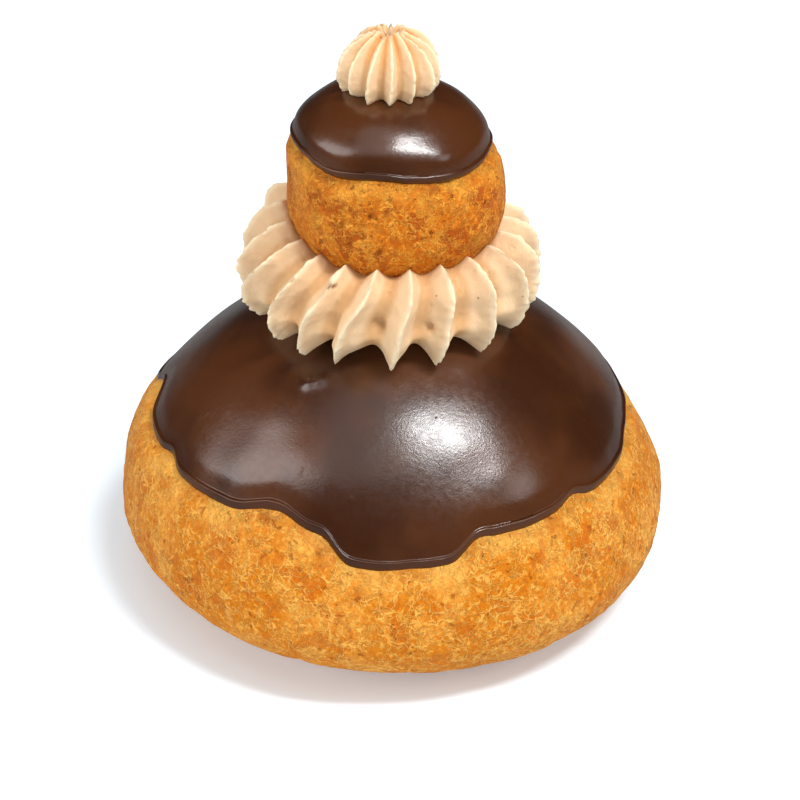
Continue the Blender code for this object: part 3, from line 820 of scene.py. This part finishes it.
def baked_crust_effect():
    """Colour, gloss and relief of baked choux: pale threads over gold, dark patches and specks, and
    painted shade under the icing's lip.
    """
    inputs = [
        ("Position", "NodeSocketVector", None),
        ("Fineness", "NodeSocketFloat", 1.0),
        ("Pits", "NodeSocketFloat", 0.0),
        ("Under Rim", "NodeSocketFloat", 0.0),
        ("Near Foot", "NodeSocketFloat", 0.0),
        ("Browning", "NodeSocketFloat", 1.0),
    ]
    colours = ("Gold", "Deep", "Pale", "Brown")
    inputs += [(label, "NodeSocketColor", (1.0, 1.0, 1.0, 1.0)) for label in colours]
    outputs = [
        ("Color", "NodeSocketColor"),
        ("Roughness", "NodeSocketFloat"),
        ("Height", "NodeSocketFloat"),
    ]
    tree, start, end = node_group("baked crust", inputs, outputs)
    where = scaled(tree, start.outputs["Position"], start.outputs["Fineness"])

    def warped(size, reach):
        """The position, shifted to and fro so that what it feeds comes out irregular."""
        settings = {"Vector": where, "Scale": 1 / (size * MM), "Detail": 3.0}
        warp = place(tree, "ShaderNodeTexNoise", settings).outputs["Color"]
        middle = {0: warp, 1: (0.5, 0.5, 0.5)}
        centred = place(tree, "ShaderNodeVectorMath", middle, operation="SUBTRACT").outputs[0]
        shift = scaled(tree, centred, reach * MM)
        return place(tree, "ShaderNodeVectorMath", {0: where, 1: shift}, operation="ADD").outputs[0]

    def web(at, size, width):
        """Fine lines between cells."""
        settings = {"Vector": at, "Scale": 1 / (size * MM)}
        cells = place(tree, "ShaderNodeTexVoronoi", settings, feature="DISTANCE_TO_EDGE")
        return band(tree, cells.outputs["Distance"], 0.0, width, 1.0, 0.0)

    def threads(at, size, width):
        """Loose winding lines."""
        off_middle = maths(tree, "ABSOLUTE", maths(tree, "SUBTRACT", mottle(tree, at, size, 3.0), 0.5))
        return band(tree, off_middle, 0.0, width, 1.0, 0.0)

    def times(first, second):
        return maths(tree, "MULTIPLY", first, second)

    bent = warped(2.6, 2.8)
    crinkled = warped(0.9, 0.9)
    coarse = times(web(bent, 2.1, 0.07), band(tree, mottle(tree, where, 4.2), 0.46, 0.56))
    fine = times(web(bent, 0.95, 0.12), band(tree, mottle(tree, where, 2.6), 0.44, 0.56))
    loose = times(threads(bent, 1.0, 0.02), band(tree, mottle(tree, where, 1.7), 0.42, 0.58, 0.15, 1.0))
    webbed = maths(tree, "MAXIMUM", times(coarse, 0.9), times(fine, 0.8))
    webbed = maths(tree, "MAXIMUM", webbed, loose)
    broad = mottle(tree, where, 7.0, 4.0)
    clusters = band(tree, mottle(tree, where, 8.5), 0.36, 0.6, 0.3, 1.0)
    patches = times(band(tree, mottle(tree, bent, 3.4, 3.0), 0.53, 0.57), clusters)
    specks = band(tree, mottle(tree, crinkled, 1.6, 2.0), 0.66, 0.7)
    grain = mottle(tree, where, 0.34, 3.0)
    strokes = mottle(tree, crinkled, 0.8, 3.0)
    browning = start.outputs["Browning"]
    gold, deep, pale, brown = (start.outputs[label] for label in colours)

    colour = blend_colours(tree, band(tree, broad, 0.36, 0.56), pale, gold)
    colour = blend_colours(tree, 0.74, colour, gold)
    colour = blend_colours(tree, times(band(tree, strokes, 0.44, 0.38), 0.4), colour, pale)
    colour = blend_colours(tree, times(band(tree, strokes, 0.54, 0.62), 0.5), colour, deep)
    colour = blend_colours(tree, times(times(patches, browning), 0.9), colour, deep)
    rim_share = times(times(start.outputs["Under Rim"], band(tree, broad, 0.4, 0.6, 1.0, 0.3)), 0.6)
    colour = blend_colours(tree, rim_share, colour, pale)
    foot_share = times(times(start.outputs["Near Foot"], band(tree, strokes, 0.4, 0.6, 0.35, 1.0)), 0.6)
    colour = blend_colours(tree, foot_share, colour, deep)
    colour = blend_colours(tree, times(times(specks, browning), 0.7), colour, brown)
    colour = blend_colours(tree, times(webbed, 0.75), colour, pale)
    colour = blend_colours(tree, times(start.outputs["Pits"], 0.5), colour, brown)
    # Painted shade: the crust is darkened by up to 16% towards the icing's rim, standing for the shadow
    # under its lip
    painted_lip_shade = band(tree, start.outputs["Under Rim"], 0.5, 1.0, 1.0, 0.84)
    light = times(band(tree, grain, 0.3, 0.7, 0.9, 1.1), painted_lip_shade)
    tree.links.new(scaled(tree, colour, light), end.inputs["Color"])

    rough = band(tree, grain, 0.3, 0.7, 0.5, 0.68)
    tree.links.new(rough, end.inputs["Roughness"])
    raised = maths(tree, "ADD", times(webbed, 0.7), maths(tree, "ADD", times(grain, 0.5), strokes))
    raised = maths(tree, "SUBTRACT", raised, times(specks, 0.6))
    tree.links.new(raised, end.inputs["Height"])
    return tree


def speckle_effect():
    """Sparse small round marks, such as burst air bubbles."""
    inputs = [
        ("Position", "NodeSocketVector", None),
        ("Spacing", "NodeSocketFloat", 500.0),
        ("Size", "NodeSocketFloat", 0.15),
        ("Share", "NodeSocketFloat", 0.2),
    ]
    tree, start, end = node_group("speckle", inputs, [("Mask", "NodeSocketFloat")])
    settings = {"Vector": start.outputs["Position"], "Scale": start.outputs["Spacing"]}
    cells = place(tree, "ShaderNodeTexVoronoi", settings)
    inside = band(tree, cells.outputs["Distance"], 0.0, start.outputs["Size"], 1.0, 0.0)
    pick = place(tree, "ShaderNodeSeparateColor", {0: cells.outputs["Color"]}).outputs[0]
    chosen = maths(tree, "LESS_THAN", pick, start.outputs["Share"])
    tree.links.new(maths(tree, "MULTIPLY", inside, chosen), end.inputs["Mask"])
    return tree


def new_finish(name):
    """A material with its tree, its shader and the position that its effects read."""
    finish = bpy.data.materials.new(name)
    finish.use_nodes = True
    tree = finish.node_tree
    shader = tree.nodes["Principled BSDF"]
    where = tree.nodes.new("ShaderNodeTexCoord").outputs["Object"]
    return finish, tree, shader, where


def relief_on(tree, shader, height, distance):
    """Fine relief of a depth in millimetres."""
    bump = place(tree, "ShaderNodeBump", {"Height": height, "Distance": distance * MM, "Strength": 1.0})
    tree.links.new(bump.outputs["Normal"], shader.inputs["Normal"])


def speckled(tree, speckle, where, spacing, size, share):
    """The mask of sparse round marks: their spacing in millimetres, and their size as a share of it."""
    marks = tree.nodes.new("ShaderNodeGroup")
    marks.node_tree = speckle
    tree.links.new(where, marks.inputs["Position"])
    marks.inputs["Spacing"].default_value = 1 / (spacing * MM)
    marks.inputs["Size"].default_value = size
    marks.inputs["Share"].default_value = share
    return marks.outputs["Mask"]


def crust_finish(name, effect, fineness, browning):
    """Baked choux, dull and a little soft to light."""
    finish, tree, shader, where = new_finish(name)
    crust = tree.nodes.new("ShaderNodeGroup")
    crust.node_tree = effect
    tree.links.new(where, crust.inputs["Position"])
    for attribute, label in (("pits", "Pits"), ("under_rim", "Under Rim"), ("near_foot", "Near Foot")):
        mark = place(tree, "ShaderNodeAttribute", attribute_name=attribute)
        tree.links.new(mark.outputs["Fac"], crust.inputs[label])
    crust.inputs["Fineness"].default_value = fineness
    crust.inputs["Browning"].default_value = browning
    for label, colour in CRUST_COLOURS[name].items():
        crust.inputs[label].default_value = (*colour, 1.0)
    tree.links.new(crust.outputs["Color"], shader.inputs["Base Color"])
    tree.links.new(crust.outputs["Roughness"], shader.inputs["Roughness"])
    relief_on(tree, shader, crust.outputs["Height"], 0.22)
    shader.inputs["Specular IOR Level"].default_value = 0.1
    shader.inputs["Subsurface Weight"].default_value = 0.1
    shader.inputs["Subsurface Radius"].default_value = (1.0, 0.35, 0.12)
    shader.inputs["Subsurface Scale"].default_value = 0.8 * MM
    return finish


def icing_finish(speckle):
    """Set dark icing: glossy, with a faint satin grain and burst bubbles."""
    finish, tree, shader, where = new_finish("icing")
    broad = mottle(tree, where, 14.0, 2.0)
    colour = blend_colours(tree, band(tree, broad, 0.35, 0.65), ICING_BROWN, ICING_RICH)
    bubbles = speckled(tree, speckle, where, 3.0, 0.07, 0.25)
    tree.links.new(colour, shader.inputs["Base Color"])
    satin = mottle(tree, where, 0.9, 3.0)
    tree.links.new(band(tree, satin, 0.3, 0.7, 0.2, 0.27), shader.inputs["Roughness"])
    grain = mottle(tree, where, 0.36, 2.0)
    swirl = mottle(tree, where, 1.1, 2.0)
    height = maths(tree, "ADD", grain, maths(tree, "MULTIPLY", swirl, 0.6))
    height = maths(tree, "SUBTRACT", height, maths(tree, "MULTIPLY", bubbles, 2.5))
    relief_on(tree, shader, height, 0.015)
    shader.inputs["Specular IOR Level"].default_value = 0.5
    shader.inputs["Coat Weight"].default_value = 0.14
    shader.inputs["Coat Roughness"].default_value = 0.42
    return finish


def cream_finish(speckle):
    """Coffee cream: painted highlight on the crests and painted shade in the valleys, deeper orange at
    the tops of the rosette's valleys, small dark specks, and painted shade in tears and dimples.
    """
    finish, tree, shader, where = new_finish("cream")
    crest = place(tree, "ShaderNodeAttribute", attribute_name="crest").outputs["Fac"]
    # Painted shade in the valleys and painted highlight on the crests of the piped cream
    colour = blend_colours(tree, band(tree, crest, 0.0, 0.3), CREAM_VALLEY_SHADE, CREAM_LIGHT)
    colour = blend_colours(tree, band(tree, crest, 0.7, 0.95), colour, CREAM_CREST_HIGHLIGHT)
    hollow = place(tree, "ShaderNodeAttribute", attribute_name="hollow").outputs["Fac"]
    colour = blend_colours(tree, maths(tree, "MULTIPLY", hollow, 0.75), colour, CREAM_HOLLOW)
    hole_shade = place(tree, "ShaderNodeAttribute", attribute_name="hole_shade").outputs["Fac"]
    # Painted shade in the tears and dimples
    colour = blend_colours(tree, maths(tree, "MULTIPLY", hole_shade, 0.85), colour, CREAM_SPECK_AND_HOLE_SHADE)
    cloudy = mottle(tree, where, 4.0, 3.0)
    lit = scaled(tree, colour, band(tree, cloudy, 0.3, 0.7, 0.94, 1.04))
    specks = speckled(tree, speckle, where, 3.1, 0.085, 0.3)
    speckled_colour = blend_colours(tree, maths(tree, "MULTIPLY", specks, 0.85), lit, CREAM_SPECK_AND_HOLE_SHADE)
    tree.links.new(speckled_colour, shader.inputs["Base Color"])
    grain = mottle(tree, where, 0.3, 3.0)
    folds = mottle(tree, where, 1.4, 3.0, 0.6)
    height = maths(tree, "ADD", grain, maths(tree, "MULTIPLY", folds, 1.6))
    height = maths(tree, "SUBTRACT", height, maths(tree, "MULTIPLY", specks, 2.0))
    relief_on(tree, shader, height, 0.05)
    tree.links.new(band(tree, grain, 0.3, 0.7, 0.48, 0.62), shader.inputs["Roughness"])
    shader.inputs["Specular IOR Level"].default_value = 0.35
    shader.inputs["Subsurface Weight"].default_value = 0.18
    shader.inputs["Subsurface Radius"].default_value = (1.0, 0.6, 0.35)
    shader.inputs["Subsurface Scale"].default_value = 1.2 * MM
    return finish


# Stage: a pale floor with a faint glow of its own, soft boxes and an even light from all round
FLOOR_SIZE = 3.0
FLOOR_COLOUR = (0.80, 0.89, 0.96)
FLOOR_IN_GLOSS = (0.22, 0.22, 0.22)
FLOOR_GLOW = 0.2
FLOOR_GLOW_IN_GLOSS = 0.05
FLOOR_GLOW_COLOUR = (0.90, 1.0, 1.08, 1.0)
# Name, azimuth, elevation, size, brightness, turn in its plane, whether in gloss, whether it lights
SOFT_BOXES = (
    ("key_soft_box", 51.0, 62.5, (0.36, 0.16), 50.0, -47.0, True, True),
    ("low_soft_box", 67.0, 34.0, (0.36, 0.30), 3.3, 0.0, True, True),
    ("side_soft_box", -79.0, 38.0, (0.88, 0.36), 4.8, 41.0, True, False),
    ("side_fill_box", -72.0, 17.0, (0.7, 0.44), 4.4, 0.0, False, True),
    ("top_soft_box", -20.0, 73.0, (0.70, 0.70), 1.1, 0.0, True, True),
    ("front_soft_box", 10.0, 20.0, (0.5, 0.5), 1.7, 0.0, False, True),
)
SOFT_BOX_AWAY = 0.9
SOFT_BOX_AIM_Z = 0.04
FILL_STRENGTH = 0.34
FILL_IN_GLOSS = 0.03


def pale_floor():
    """The plain surface that the pastry stands on, dimmer in gloss than to the eye."""
    half = FLOOR_SIZE / 2
    corners = [(-half, -half, 0.0), (half, -half, 0.0), (half, half, 0.0), (-half, half, 0.0)]
    mesh = bpy.data.meshes.new("floor")
    mesh.from_pydata(corners, [], [(0, 1, 2, 3)])
    finish = bpy.data.materials.new("pale_floor")
    finish.use_nodes = True
    tree = finish.node_tree
    shader = tree.nodes["Principled BSDF"]
    gloss = place(tree, "ShaderNodeLightPath").outputs["Is Glossy Ray"]
    colour = blend_colours(tree, gloss, FLOOR_COLOUR, FLOOR_IN_GLOSS)
    tree.links.new(colour, shader.inputs["Base Color"])
    shader.inputs["Roughness"].default_value = 0.9
    shader.inputs["Specular IOR Level"].default_value = 0.1
    shader.inputs["Emission Color"].default_value = FLOOR_GLOW_COLOUR
    glow = {"Value": gloss, "To Min": FLOOR_GLOW, "To Max": FLOOR_GLOW_IN_GLOSS}
    strength = place(tree, "ShaderNodeMapRange", glow).outputs["Result"]
    tree.links.new(strength, shader.inputs["Emission Strength"])
    mesh.materials.append(finish)
    floor = bpy.data.objects.new("floor", mesh)
    bpy.context.scene.collection.objects.link(floor)


def soft_box(name, azimuth, elevation, size, radiance, roll, in_gloss, in_diffuse):
    """An oval light that faces the pastry, turned in its own plane, as bright at any size."""
    wide, tall = size
    light = bpy.data.lights.new(name, "AREA")
    light.shape = "ELLIPSE"
    light.size = wide
    light.size_y = tall
    light.energy = radiance * math.pi * math.pi * wide * tall / 4
    lamp = bpy.data.objects.new(name, light)
    bpy.context.scene.collection.objects.link(lamp)
    around, up = math.radians(azimuth), math.radians(elevation)
    flat = math.cos(up)
    direction = Vector((math.sin(around) * flat, -math.cos(around) * flat, math.sin(up)))
    lamp.location = Vector((0.0, 0.0, SOFT_BOX_AIM_Z)) + SOFT_BOX_AWAY * direction
    turned = Quaternion((0.0, 0.0, 1.0), math.radians(roll))
    lamp.rotation_euler = (direction.to_track_quat("Z", "Y") @ turned).to_euler()
    lamp.visible_glossy = in_gloss
    lamp.visible_diffuse = in_diffuse


def even_light():
    """White light from all round, held back in what gloss reflects so that dark icing stays dark."""
    world = bpy.data.worlds.new("studio")
    bpy.context.scene.world = world
    world.use_nodes = True
    tree = world.node_tree
    background = tree.nodes["Background"]
    background.inputs["Color"].default_value = (1.0, 1.0, 1.0, 1.0)
    gloss = place(tree, "ShaderNodeLightPath").outputs["Is Glossy Ray"]
    fill = {"Value": gloss, "To Min": FILL_STRENGTH, "To Max": FILL_IN_GLOSS}
    strength = place(tree, "ShaderNodeMapRange", fill).outputs["Result"]
    tree.links.new(strength, background.inputs["Strength"])


def photo_camera():
    """The camera where the photograph was taken from."""
    camera = bpy.data.cameras.new("photo_camera")
    camera.lens = CAMERA_LENS
    camera.sensor_width = CAMERA_SENSOR
    camera.sensor_fit = "HORIZONTAL"
    camera.clip_start = 0.01
    viewer = bpy.data.objects.new("photo_camera", camera)
    bpy.context.scene.collection.objects.link(viewer)
    viewer.location = Vector(CAMERA_AT) * MM
    look = Vector(CAMERA_AIM) - Vector(CAMERA_AT)
    viewer.rotation_euler = look.to_track_quat("-Z", "Y").to_euler()
    bpy.context.scene.camera = viewer


def dress_pastry():
    """Every piece of the pastry in its finish."""
    crust_effect = baked_crust_effect()
    speckle = speckle_effect()
    crust = crust_finish("crust", crust_effect, fineness=1.0, browning=0.8)
    small_crust = crust_finish("small_crust", crust_effect, fineness=1.5, browning=1.0)
    icing = icing_finish(speckle)
    cream = cream_finish(speckle)
    marks = PHOTO_SWELLS + PHOTO_GLINTS + tuple((pixel, *BUBBLE_MARK) for pixel in PHOTO_BUBBLES)
    baked_crust(
        "large_choux",
        LARGE_BUN,
        large_rim,
        steps=640,
        rows=(56, 46),
        photo_pits=PHOTO_LARGE_PITS,
        seed=3.0,
        finish=crust,
        foot_run=LARGE_FOOT_RUN,
    )
    set_icing(
        "large_icing",
        LARGE_BUN,
        large_rim,
        steps=600,
        rows=110,
        seed=21.0,
        finish=icing,
        lip=1.0,
        shoulder=LARGE_SHOULDER,
        marks=marks,
    )
    piped_ruff("cream_ruff", cream)
    baked_crust(
        "small_choux",
        SMALL_BUN,
        small_rim,
        steps=340,
        rows=(44, 24),
        photo_pits=PHOTO_SMALL_PITS,
        seed=31.0,
        finish=small_crust,
        foot_run=SMALL_FOOT_RUN,
    )
    set_icing(
        "small_icing",
        SMALL_BUN,
        small_rim,
        steps=340,
        rows=48,
        seed=41.0,
        finish=icing,
        lip=SMALL_LIP,
        shoulder=SMALL_SHOULDER,
        marks=PHOTO_TOP_SWELLS,
    )
    piped_rosette("cream_rosette", cream)


dress_pastry()
pale_floor()
for box in SOFT_BOXES:
    soft_box(*box)
even_light()
photo_camera()
bpy.context.scene.view_settings.view_transform = "Standard"
